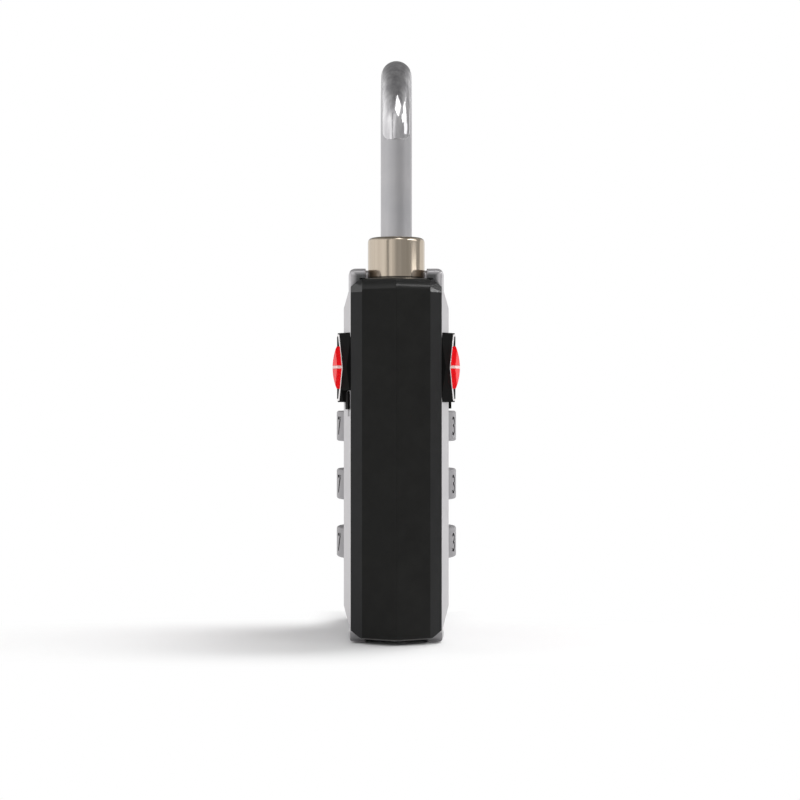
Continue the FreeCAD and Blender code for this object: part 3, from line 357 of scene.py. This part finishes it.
def turned_nickel():
    """The collars: warm nickel with upright streaks, and painted shade at the foot where they meet
    the frame.
    """
    material, tree, shader = new_material("nickel")
    height = object_place(tree)["Z"]
    streaks = noise(tree, 1800, detail=3, roughness=0.6, stretch=(1, 1, 0.01))
    lines = noise(tree, 9000, detail=3, stretch=(1, 1, 0.02))
    # Painted shade: the collar's foot is darkened to stand for the contact shadow where it meets
    # the frame.
    painted_contact_shade = remap(tree, height, CONTACT_SHADE_TOP * MM, (CONTACT_SHADE_TOP + CONTACT_SHADE_FADE) * MM, 1, 0,
                   smooth=True)
    warm = tint(tree, streaks, (0.50, 0.428, 0.342), (0.60, 0.52, 0.425))
    tree.links.new(blend(tree, painted_contact_shade, warm, (0.05, 0.045, 0.04)), shader.inputs["Base Color"])
    tree.links.new(spread(tree, lines, 0.13, 0.19), shader.inputs["Roughness"])
    shader.inputs["Metallic"].default_value = 1.0
    waves = calc(tree, "ADD", calc(tree, "MULTIPLY", streaks, 4.0), lines)
    bump(tree, shader, waves, 0.000002)
    return material


black_frame = frame_black()
silver_cover = cover_silver()
black_badge = coated_metal("black_badge", (0.003, 0.003, 0.003), (0.0045, 0.0045, 0.0045),
                           metallic=0.0, rough=(0.5, 0.6), grain=4000, depth=0.000004,
                           edge=0.00012, gloss=0.05)
badge_trim = coated_metal("badge_trim", (0.80, 0.77, 0.77), (0.88, 0.85, 0.85),
                          metallic=1.0, rough=(0.2, 0.3), grain=6000, depth=0.000004,
                          edge=0.00004)
dial_metal = coated_metal("dial_metal", (0.30, 0.29, 0.305), (0.35, 0.34, 0.35),
                          metallic=0.5, rough=(0.36, 0.46), grain=7000, depth=0.00001,
                          edge=0.00006)
digit_ink = coated_metal("digit_ink", (0.022, 0.02, 0.023), (0.038, 0.034, 0.038),
                         metallic=0.0, rough=(0.25, 0.4), grain=7000, depth=0.00002,
                         edge=0.00003)
nickel = turned_nickel()
shackle_steel = rod_steel()
steel = drawn_metal("steel", (0.46, 0.46, 0.47), (0.56, 0.56, 0.56))
brass_inner = drawn_metal("brass_inner", (0.62, 0.47, 0.22), (0.72, 0.56, 0.28))
red_lens = red_plastic()

FINISH = {
    "black_frame": black_frame,
    "silver_cover": silver_cover,
    "black_badge": black_badge,
    "badge_trim": badge_trim,
    "red_lens": red_lens,
    "nickel": nickel,
    "shackle_steel": shackle_steel,
    "steel": steel,
    "spring_steel": steel,
    "dial_metal": dial_metal,
    "brass_inner": brass_inner,
}


def dress(piece, material):
    if not piece.material_slots:
        piece.data.materials.append(material)
    for slot in piece.material_slots:
        slot.material = material


for part in frame["record"]["subparts"]:
    dress(nodes[part["node"]], FINISH[part["material_slot"]])


# Fine round pieces that stand for faceted nodes, in millimetres

SHARP_DEGREES = 32


def add_piece(name, mesh):
    piece = bpy.data.objects.new(name, mesh)
    bpy.context.scene.collection.objects.link(piece)
    return piece


def smooth(mesh):
    """Shades a mesh smooth, with its real edges sharp."""
    for face in mesh.polygons:
        face.use_smooth = True
    mesh.set_sharp_from_angle(angle=math.radians(SHARP_DEGREES))


def finish_mesh(form, name):
    """Turns a bmesh in millimetres into a smooth mesh in metres."""
    bmesh.ops.remove_doubles(form, verts=form.verts, dist=1e-4)
    bmesh.ops.recalc_face_normals(form, faces=form.faces)
    bmesh.ops.scale(form, vec=(MM, MM, MM), verts=form.verts)
    mesh = bpy.data.meshes.new(name)
    form.to_mesh(mesh)
    form.free()
    smooth(mesh)
    return mesh


def skin(form, rings, closed=False):
    """Joins rings of equal length with quads, and caps the first and last unless closed."""
    loops = [[form.verts.new(point) for point in ring] for ring in rings]
    pairs = list(zip(loops, loops[1:]))
    if closed:
        pairs.append((loops[-1], loops[0]))
    for low, high in pairs:
        for i in range(len(low)):
            j = (i + 1) % len(low)
            form.faces.new((low[i], low[j], high[j], high[i]))
    if not closed:
        form.faces.new(list(reversed(loops[0])))
        form.faces.new(loops[-1])


def corner_arc(centre, radius, start, end, steps=6):
    """Points of a rounded corner in a profile, from one angle to another in degrees."""
    return [
        (centre[0] + radius * math.cos(math.radians(start + (end - start) * i / steps)),
         centre[1] + radius * math.sin(math.radians(start + (end - start) * i / steps)))
        for i in range(steps + 1)
    ]


def cut_from(piece, cutter):
    """Cuts one piece's mesh with another's, and removes the cutter."""
    tool = piece.modifiers.new("cut", "BOOLEAN")
    tool.operation = "DIFFERENCE"
    tool.solver = "EXACT"
    tool.use_self = True
    tool.object = cutter
    shaped = piece.evaluated_get(bpy.context.evaluated_depsgraph_get())
    mesh = bpy.data.meshes.new_from_object(shaped)
    mesh.name = piece.name
    piece.modifiers.clear()
    piece.data = mesh
    bpy.data.objects.remove(cutter)


ROD = 1.75
LEG = 8.5
BEND_Z = 56.06
TOE_Z = 34.1
TIP = 0.4
HEEL_Z = 25.95
NECK = (26.75, 39.3)
NECK_RADIUS = 1.1
NOTCH_DEEP = 0.65
NOTCH_FOOT = 36.8
NOTCH_TOP = 39.15
NOTCH_HALF = 3.5
LIFT = 11.2
LATCH_TRAVEL = 3.136
ROUND_STEPS = 96
BEND_STEPS = 96


def circle(centre, radius, side, up):
    """Points of a circle in the plane of two unit vectors."""
    return [centre + side * (radius * math.cos(2 * math.pi * i / ROUND_STEPS))
            + up * (radius * math.sin(2 * math.pi * i / ROUND_STEPS))
            for i in range(ROUND_STEPS)]


def make_shackle():
    """The bent rod: from the heel over the neck and the bend to the toe, with its notch."""
    across = Vector((0, 1, 0))
    stations = [(HEEL_Z, ROD), (NECK[0], ROD), (NECK[0], NECK_RADIUS), (NECK[1], NECK_RADIUS),
                (NECK[1], ROD)]
    rings = [circle(Vector((-LEG, 0, z)), r, Vector((-1, 0, 0)), across) for z, r in stations]
    for i in range(BEND_STEPS + 1):
        turn = math.pi * i / BEND_STEPS
        out = Vector((-math.cos(turn), 0, math.sin(turn)))
        rings.append(circle(Vector((0, 0, BEND_Z)) + out * LEG, ROD, out, across))
    for z, r in ((TOE_Z + TIP, ROD), (TOE_Z, ROD - TIP)):
        rings.append(circle(Vector((LEG, 0, z)), r, Vector((1, 0, 0)), across))
    form = bmesh.new()
    skin(form, rings)
    piece = add_piece("shackle_rod", finish_mesh(form, "shackle_rod"))

    bite = LEG - ROD + NOTCH_DEEP
    outside = LEG - ROD - ROD / 2
    slope_low = NOTCH_FOOT - (NOTCH_DEEP + ROD / 2) * LIFT / LATCH_TRAVEL
    profile = [(bite, NOTCH_TOP), (outside, NOTCH_TOP), (outside, slope_low), (bite, NOTCH_FOOT)]
    form = bmesh.new()
    skin(form, [[(x, y, z) for x, z in profile] for y in (-NOTCH_HALF, NOTCH_HALF)])
    cut_from(piece, add_piece("notch_cutter", finish_mesh(form, "notch_cutter")))
    smooth(piece.data)
    dress(piece, shackle_steel)
    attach(piece, "shackle")
    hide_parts("shackle")


COLLAR = 3.2
COLLAR_HOLE = 1.8
COLLAR_LOW = 39.4
COLLAR_TOP = 45.0
COLLAR_ROUND = 0.5
COLLAR_CHAMFER = 0.12


def make_collar(name, x):
    """A turned collar with a rounded rim and a chamfered hole."""
    profile = [(COLLAR_HOLE, COLLAR_LOW), (COLLAR, COLLAR_LOW)]
    profile += corner_arc((COLLAR - COLLAR_ROUND, COLLAR_TOP - COLLAR_ROUND), COLLAR_ROUND,
                          0, 90, 10)
    profile += [(COLLAR_HOLE + COLLAR_CHAMFER, COLLAR_TOP),
                (COLLAR_HOLE, COLLAR_TOP - COLLAR_CHAMFER)]
    rings = []
    for i in range(ROUND_STEPS):
        turn = 2 * math.pi * i / ROUND_STEPS
        rings.append([(x + r * math.cos(turn), r * math.sin(turn), z) for r, z in profile])
    form = bmesh.new()
    skin(form, rings, closed=True)
    piece = add_piece(f"{name}_turned", finish_mesh(form, f"{name}_turned"))
    dress(piece, nickel)
    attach(piece, "casing")
    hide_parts(name)


WHEEL = 6.97
WHEEL_TALL = 3.5
WHEEL_ROUND = 0.25
RIM_SLACK = 0.01
WHEEL_BORE = 4.3
WHEEL_PITCH = 6.73
WHEEL_LOW_CENTRE = 10.38
TRACK = (5.0, 6.25)
TRACK_DEEP = 0.38
GROOVE_DEEP = 0.22
GROOVE_HALF = 2.6
GROOVE_CLEAR = 0.4
GROOVE_STEPS = (0.25, 0.8, 1.6, GROOVE_HALF)
DIGIT_TALL = 2.08
DIGIT_OF_SIZE = 0.69
DIGIT_WIDTH = 0.92
DIGIT_BOLD = 0.02
DIGIT_DEEP = 0.1
LETTER_HALF = 0.3
DIGIT_AT_SIDE = 5
DIGITS = 10
STEP = 360 / DIGITS
WHEEL_ANGLE = 1.5


def wheel_profile():
    """The wheel's section: a bore, a track for the click ball and a rounded rim."""
    half = WHEEL_TALL / 2
    inner = WHEEL - WHEEL_ROUND
    profile = [(WHEEL_BORE, half), (WHEEL_BORE, -half), (TRACK[0], -half),
               (TRACK[0], TRACK_DEEP - half), (TRACK[1], TRACK_DEEP - half), (TRACK[1], -half)]
    profile += corner_arc((inner, WHEEL_ROUND - half), WHEEL_ROUND, -90, 0)
    profile += corner_arc((inner, half - WHEEL_ROUND), WHEEL_ROUND, 0, 90)
    return profile


def wheel_angles():
    """Even steps in degrees, with finer ones in each of the ten grooves."""
    angles = {i * WHEEL_ANGLE for i in range(round(360 / WHEEL_ANGLE))}
    for n in range(DIGITS):
        middle = n * STEP + STEP / 2
        angles = {a for a in angles if abs(a - middle) > GROOVE_HALF + GROOVE_CLEAR}
        for off in GROOVE_STEPS:
            angles |= {middle - off, middle + off}
    return sorted(angles)


def groove_depth(angle):
    """The depth of the V grooves: full midway between two digits, and none beyond its edges."""
    off = abs(angle % STEP - STEP / 2)
    return GROOVE_DEEP * max(0.0, 1 - off / GROOVE_HALF)


def digit_cutter(number, centre):
    """The ten digits as solid letters, standing around the wheel a little sunk into it."""
    form = bmesh.new()
    for digit in range(DIGITS):
        text = bpy.data.curves.new(f"digit_{digit}", "FONT")
        text.body = str(digit)
        text.align_x = "CENTER"
        text.align_y = "CENTER"
        text.size = DIGIT_TALL / DIGIT_OF_SIZE
        text.offset = DIGIT_BOLD
        text.extrude = LETTER_HALF
        letter = add_piece(f"digit_{digit}_{number}", text)
        depsgraph = bpy.context.evaluated_depsgraph_get()
        mesh = bpy.data.meshes.new_from_object(letter.evaluated_get(depsgraph))
        low = min(v.co.y for v in mesh.vertices)
        high = max(v.co.y for v in mesh.vertices)
        turn = math.radians((DIGIT_AT_SIDE - digit) * STEP)
        out = Vector((math.cos(turn), math.sin(turn), 0))
        aside = Vector((-math.sin(turn), math.cos(turn), 0))
        for vertex in mesh.vertices:
            x, y, z = vertex.co
            spot = out * (WHEEL - DIGIT_DEEP + LETTER_HALF + z) + aside * (x * DIGIT_WIDTH)
            spot.z = centre + (y - (low + high) / 2)
            vertex.co = spot
        form.from_mesh(mesh)
        bpy.data.objects.remove(letter)
    cutter = finish_mesh(form, f"digit_cutter_{number}")
    cutter.materials.append(dial_metal)
    cutter.materials.append(digit_ink)
    for face in cutter.polygons:
        face.material_index = 1
    return add_piece(cutter.name, cutter)


def make_wheel(number, name):
    """A digit wheel with V grooves between its digits, which are cut in and inked."""
    centre = WHEEL_LOW_CENTRE + number * WHEEL_PITCH
    rim = WHEEL - WHEEL_ROUND - RIM_SLACK
    profile = wheel_profile()
    rings = []
    for angle in wheel_angles():
        turn = math.radians(angle)
        lowest = WHEEL - groove_depth(angle)
        ring = []
        for r, z in profile:
            reach = min(r, lowest) if r > rim else r
            ring.append((reach * math.cos(turn), reach * math.sin(turn), centre + z))
        rings.append(ring)
    form = bmesh.new()
    skin(form, rings, closed=True)
    piece = add_piece(f"wheel_{name}_digits", finish_mesh(form, f"wheel_{name}_digits"))
    dress(piece, dial_metal)
    piece.data.materials.append(digit_ink)
    cut_from(piece, digit_cutter(number, centre))
    piece.data.set_sharp_from_angle(angle=math.radians(SHARP_DEGREES))
    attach(piece, f"wheel_{name}")
    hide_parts(f"dial_{name}")


EDGE_LONG = 9.2
EDGE_ACROSS = (3.16, 3.42)
EDGE_UP = (40.0, 41.38)
EDGE_ROUND = 0.6


def make_lip_edge(name, side):
    """The turned-in edge of a cover's lip, which closes on the collars."""
    corner = EDGE_LONG - EDGE_ROUND
    profile = [(-EDGE_LONG, EDGE_UP[0]), (EDGE_LONG, EDGE_UP[0])]
    profile += corner_arc((corner, EDGE_UP[1] - EDGE_ROUND), EDGE_ROUND, 0, 90)
    profile += corner_arc((-corner, EDGE_UP[1] - EDGE_ROUND), EDGE_ROUND, 90, 180)
    form = bmesh.new()
    skin(form, [[(x, side * y, z) for x, z in profile] for y in EDGE_ACROSS])
    piece = add_piece(name, finish_mesh(form, name))
    dress(piece, silver_cover)
    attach(piece, "casing")


make_shackle()
make_lip_edge("front_lip_edge", -1)
make_lip_edge("back_lip_edge", 1)
make_collar("toe_collar", LEG)
make_collar("heel_collar", -LEG)
for wheel_number, wheel_name in enumerate(("bottom", "middle", "top")):
    make_wheel(wheel_number, wheel_name)


# Studio, with azimuths in degrees from +X towards +Y

FLOOR_SIZE = 8
FLOOR_COLOUR = 0.8
FLOOR_SEEN = 0.92
FADE_CENTRE = (10 * MM, -6 * MM)
FADE_REACH = (22 * MM, 60 * MM)
FADE_START = 0.35
FOOT_HALF = (15 * MM, 5.2 * MM)
FOOT_CLEAR = (0.5 * MM, 6 * MM)


def direct_ray(tree):
    """One for what the camera sees, itself or in metal and glass, and nought for light."""
    rays = tree.nodes.new("ShaderNodeLightPath")
    return calc(tree, "MAXIMUM", rays.outputs["Is Camera Ray"],
                calc(tree, "MAXIMUM", rays.outputs["Is Glossy Ray"],
                     rays.outputs["Is Transmission Ray"]))


def make_floor():
    """A white floor that takes the lock's shadow and fades to plain white around it."""
    bpy.ops.mesh.primitive_plane_add(size=FLOOR_SIZE)
    floor = bpy.context.object
    floor.name = "floor"
    material = bpy.data.materials.new("floor_white")
    material.use_nodes = True
    tree = material.node_tree
    tree.nodes.clear()
    link = tree.links.new
    output = tree.nodes.new("ShaderNodeOutputMaterial")
    paper = tree.nodes.new("ShaderNodeBsdfDiffuse")
    paper.inputs["Color"].default_value = (*[FLOOR_COLOUR] * 3, 1)
    lit = tree.nodes.new("ShaderNodeBsdfDiffuse")
    lit.inputs["Color"].default_value = (*[FLOOR_SEEN] * 3, 1)
    plain = tree.nodes.new("ShaderNodeEmission")
    plain.inputs["Color"].default_value = (1, 1, 1, 1)
    plain.inputs["Strength"].default_value = 1.0
    place = tree.nodes.new("ShaderNodeNewGeometry")
    stretch = tree.nodes.new("ShaderNodeMapping")
    stretch.inputs["Location"].default_value = (-FADE_CENTRE[0] / FADE_REACH[0],
                                                -FADE_CENTRE[1] / FADE_REACH[1], 0)
    stretch.inputs["Scale"].default_value = (1 / FADE_REACH[0], 1 / FADE_REACH[1], 1)
    flat = tree.nodes.new("ShaderNodeVectorMath")
    flat.operation = "LENGTH"
    link(place.outputs["Position"], stretch.inputs["Vector"])
    link(stretch.outputs["Vector"], flat.inputs[0])
    far = remap(tree, flat.outputs["Value"], FADE_START, 1.0, 0, 1, smooth=True)
    parts = tree.nodes.new("ShaderNodeSeparateXYZ")
    link(place.outputs["Position"], parts.inputs["Vector"])
    beside, across = (
        calc(tree, "SUBTRACT", calc(tree, "ABSOLUTE", parts.outputs[axis]), half)
        for axis, half in zip("XY", FOOT_HALF)
    )
    off_foot = remap(tree, calc(tree, "MAXIMUM", beside, across), *FOOT_CLEAR, 0, 1, smooth=True)
    fade = calc(tree, "MULTIPLY", far, off_foot)
    seen = tree.nodes.new("ShaderNodeMixShader")
    link(fade, seen.inputs["Fac"])
    link(lit.outputs["BSDF"], seen.inputs[1])
    link(plain.outputs["Emission"], seen.inputs[2])
    shown = tree.nodes.new("ShaderNodeMixShader")
    link(direct_ray(tree), shown.inputs["Fac"])
    link(paper.outputs["BSDF"], shown.inputs[1])
    link(seen.outputs["Shader"], shown.inputs[2])
    link(shown.outputs["Shader"], output.inputs["Surface"])
    floor.data.materials.append(material)


AIM = Vector((0, 0, 0.03))
LAMP_AWAY = 0.5


def soft_light(name, azimuth, elevation, size, energy, twist=0, shown=True):
    """A rectangular light aimed at the lock; reflections show it only where shown is set."""
    data = bpy.data.lights.new(name, "AREA")
    data.shape = "RECTANGLE"
    data.size, data.size_y = size
    data.energy = energy
    lamp = bpy.data.objects.new(name, data)
    bpy.context.scene.collection.objects.link(lamp)
    a = math.radians(azimuth)
    e = math.radians(elevation)
    direction = Vector((math.cos(a) * math.cos(e), math.sin(a) * math.cos(e), math.sin(e)))
    lamp.location = AIM + direction * LAMP_AWAY
    turned = Quaternion((0, 0, 1), math.radians(twist))
    lamp.rotation_euler = (direction.to_track_quat("Z", "Y") @ turned).to_euler()
    lamp.visible_glossy = shown


CARD_STEP = 6
WALL_START = -22
WALL_RISES = 100
WALL_END = 152
WALL_AWAY = 0.9
WALL_TALL = 0.8
WALL_GREY = 0.42
WALL_TOP = 0.6
WALL_TOP_START = 0.7
WALL_FRONT = 0.95
WALL_FRONT_FADE = (-0.37, 0.1)
POST = (-38, -29)
POST_GREY = 0.35
FLOOR_CARD = (-22, 110)
FLOOR_CARD_START = 0.07
FLOOR_CARD_HIGH = 1 * MM
CEILING_HIGH = 0.9
CEILING_HALF = 1.7
CEILING_BACK = 6.0
CEILING_GREY = 0.2
CEILING_DARK = 0.15


def grey_card(name, form, grey, along=None):
    """A card that only reflections see; its grey may change along a coordinate."""
    mesh = bpy.data.meshes.new(name)
    form.to_mesh(mesh)
    form.free()
    card = add_piece(name, mesh)
    for ray in ("camera", "diffuse", "transmission", "volume_scatter", "shadow"):
        setattr(card, f"visible_{ray}", False)
    material = bpy.data.materials.new(name)
    material.use_nodes = True
    tree = material.node_tree
    tree.nodes.clear()
    output = tree.nodes.new("ShaderNodeOutputMaterial")
    glow = tree.nodes.new("ShaderNodeEmission")
    glow.inputs["Strength"].default_value = grey
    if along:
        tree.links.new(along(tree), glow.inputs["Strength"])
    tree.links.new(glow.outputs["Emission"], output.inputs["Surface"])
    card.data.materials.append(material)


def arc_wall(start, end, low):
    """A wall round the lock between two azimuths, with its lower edge given by a function."""
    form = bmesh.new()
    steps = max(2, round((end - start) / CARD_STEP))
    edges = []
    for i in range(steps + 1):
        azimuth = start + (end - start) * i / steps
        x = WALL_AWAY * math.cos(math.radians(azimuth))
        y = WALL_AWAY * math.sin(math.radians(azimuth))
        edges.append((form.verts.new((x, y, low(azimuth))), form.verts.new((x, y, WALL_TALL))))
    for (a, b), (c, d) in zip(edges, edges[1:]):
        form.faces.new((a, c, d, b))
    return form


def wall_grey(tree):
    """Grey at the right, paler towards the front and towards the wall's top."""
    place = object_place(tree)
    start, end = WALL_FRONT_FADE
    front = remap(tree, place["Y"], WALL_AWAY * start, WALL_AWAY * end, WALL_FRONT, WALL_GREY,
                  smooth=True)
    top = remap(tree, place["Z"], WALL_TALL * WALL_TOP_START, WALL_TALL, 0, WALL_TOP,
                smooth=True)
    return calc(tree, "MAXIMUM", front, top)


def ceiling_grey(tree):
    """Dark above the lock and behind it, and white towards the front and the sides."""
    place = object_place(tree)
    level = tree.nodes.new("ShaderNodeCombineXYZ")
    tree.links.new(calc(tree, "MAXIMUM", place["X"], 0.0), level.inputs["X"])
    tree.links.new(place["Y"], level.inputs["Y"])
    away = tree.nodes.new("ShaderNodeVectorMath")
    away.operation = "LENGTH"
    tree.links.new(level.outputs["Vector"], away.inputs[0])
    return remap(tree, away.outputs["Value"], CEILING_DARK * CEILING_HALF, CEILING_HALF,
                 CEILING_GREY, 1, smooth=True)


def make_cards():
    """Grey cards: a wall and a floor at the right, a narrow wall at the left and a ceiling."""
    def rising(azimuth):
        return WALL_TALL * max(0.0, (azimuth - WALL_RISES) / (WALL_END - WALL_RISES))

    grey_card("right_wall", arc_wall(WALL_START, WALL_END, rising), WALL_GREY, along=wall_grey)
    grey_card("left_post", arc_wall(*POST, lambda azimuth: 0.0), POST_GREY)
    form = bmesh.new()
    edges = []
    for azimuth in range(*FLOOR_CARD, CARD_STEP):
        out = Vector((math.cos(math.radians(azimuth)), math.sin(math.radians(azimuth)), 0))
        high = Vector((0, 0, FLOOR_CARD_HIGH))
        edges.append([form.verts.new(out * away + high) for away in (FLOOR_CARD_START, WALL_AWAY)])
    for (a, b), (c, d) in zip(edges, edges[1:]):
        form.faces.new((a, b, d, c))
    grey_card("floor_card", form, WALL_GREY, along=wall_grey)
    form = bmesh.new()
    form.faces.new([form.verts.new((x, y * CEILING_HALF, CEILING_HIGH))
                    for x, y in ((-CEILING_BACK, -1), (CEILING_HALF, -1),
                                 (CEILING_HALF, 1), (-CEILING_BACK, 1))])
    grey_card("ceiling", form, CEILING_GREY, along=ceiling_grey)


ROOM = ((0.0, 0.82), (0.12, 0.82), (0.27, 0.64), (0.5, 0.46), (0.73, 0.35), (0.9, 0.32),
        (1.0, 0.36))


def make_world():
    """White to the camera and in reflections; as light, a soft room, brighter at the left."""
    world = bpy.data.worlds.new("studio")
    bpy.context.scene.world = world
    world.use_nodes = True
    tree = world.node_tree
    tree.nodes.clear()
    link = tree.links.new
    output = tree.nodes.new("ShaderNodeOutputWorld")
    seen = tree.nodes.new("ShaderNodeBackground")
    seen.inputs["Color"].default_value = (1, 1, 1, 1)
    seen.inputs["Strength"].default_value = 1.0
    room = tree.nodes.new("ShaderNodeBackground")
    place = tree.nodes.new("ShaderNodeTexCoord")
    across = tree.nodes.new("ShaderNodeSeparateXYZ")
    link(place.outputs["Generated"], across.inputs["Vector"])
    ramp = tree.nodes.new("ShaderNodeValToRGB")
    link(remap(tree, across.outputs["Y"], -1, 1, 0, 1), ramp.inputs["Fac"])
    shades = ramp.color_ramp.elements
    while len(shades) < len(ROOM):
        shades.new(0.5)
    for shade, (position, value) in zip(shades, ROOM):
        shade.position = position
        shade.color = (value, value, value, 1)
    link(ramp.outputs["Color"], room.inputs["Color"])
    mix = tree.nodes.new("ShaderNodeMixShader")
    link(direct_ray(tree), mix.inputs["Fac"])
    link(room.outputs["Background"], mix.inputs[1])
    link(seen.outputs["Background"], mix.inputs[2])
    link(mix.outputs["Shader"], output.inputs["Surface"])


CAMERA_DISTANCE = 215 * MM
CAMERA_HEIGHT = 26.84 * MM
CAMERA_SIDEWAYS = 0.42 * MM
FOCAL_PIXELS = 1838
IMAGE_PIXELS = 800
SENSOR = 36.0
CLIP = (0.01, 20)


def make_camera():
    """Level with the lock's middle and square on to its narrow side."""
    data = bpy.data.cameras.new("camera")
    data.sensor_fit = "HORIZONTAL"
    data.sensor_width = SENSOR
    data.lens = SENSOR * FOCAL_PIXELS / IMAGE_PIXELS
    data.clip_start, data.clip_end = CLIP
    camera = bpy.data.objects.new("camera", data)
    bpy.context.scene.collection.objects.link(camera)
    camera.location = (CAMERA_DISTANCE, CAMERA_SIDEWAYS, CAMERA_HEIGHT)
    camera.rotation_euler = (math.pi / 2, 0, math.pi / 2)
    bpy.context.scene.camera = camera


make_floor()
make_world()
make_cards()
soft_light("key", 132, 62, (0.25, 0.25), 1.45, shown=False)
soft_light("side", 80, 29, (0.2, 0.27), 0.25)
soft_light("side_low", 75, 5.9, (0.2, 0.03), 0.045)
soft_light("corner", 63, 33, (0.2, 0.08), 0.32)
soft_light("front", 15, 52, (0.18, 0.18), 0.22, twist=45)
make_camera()

bpy.context.scene.view_settings.view_transform = "Standard"
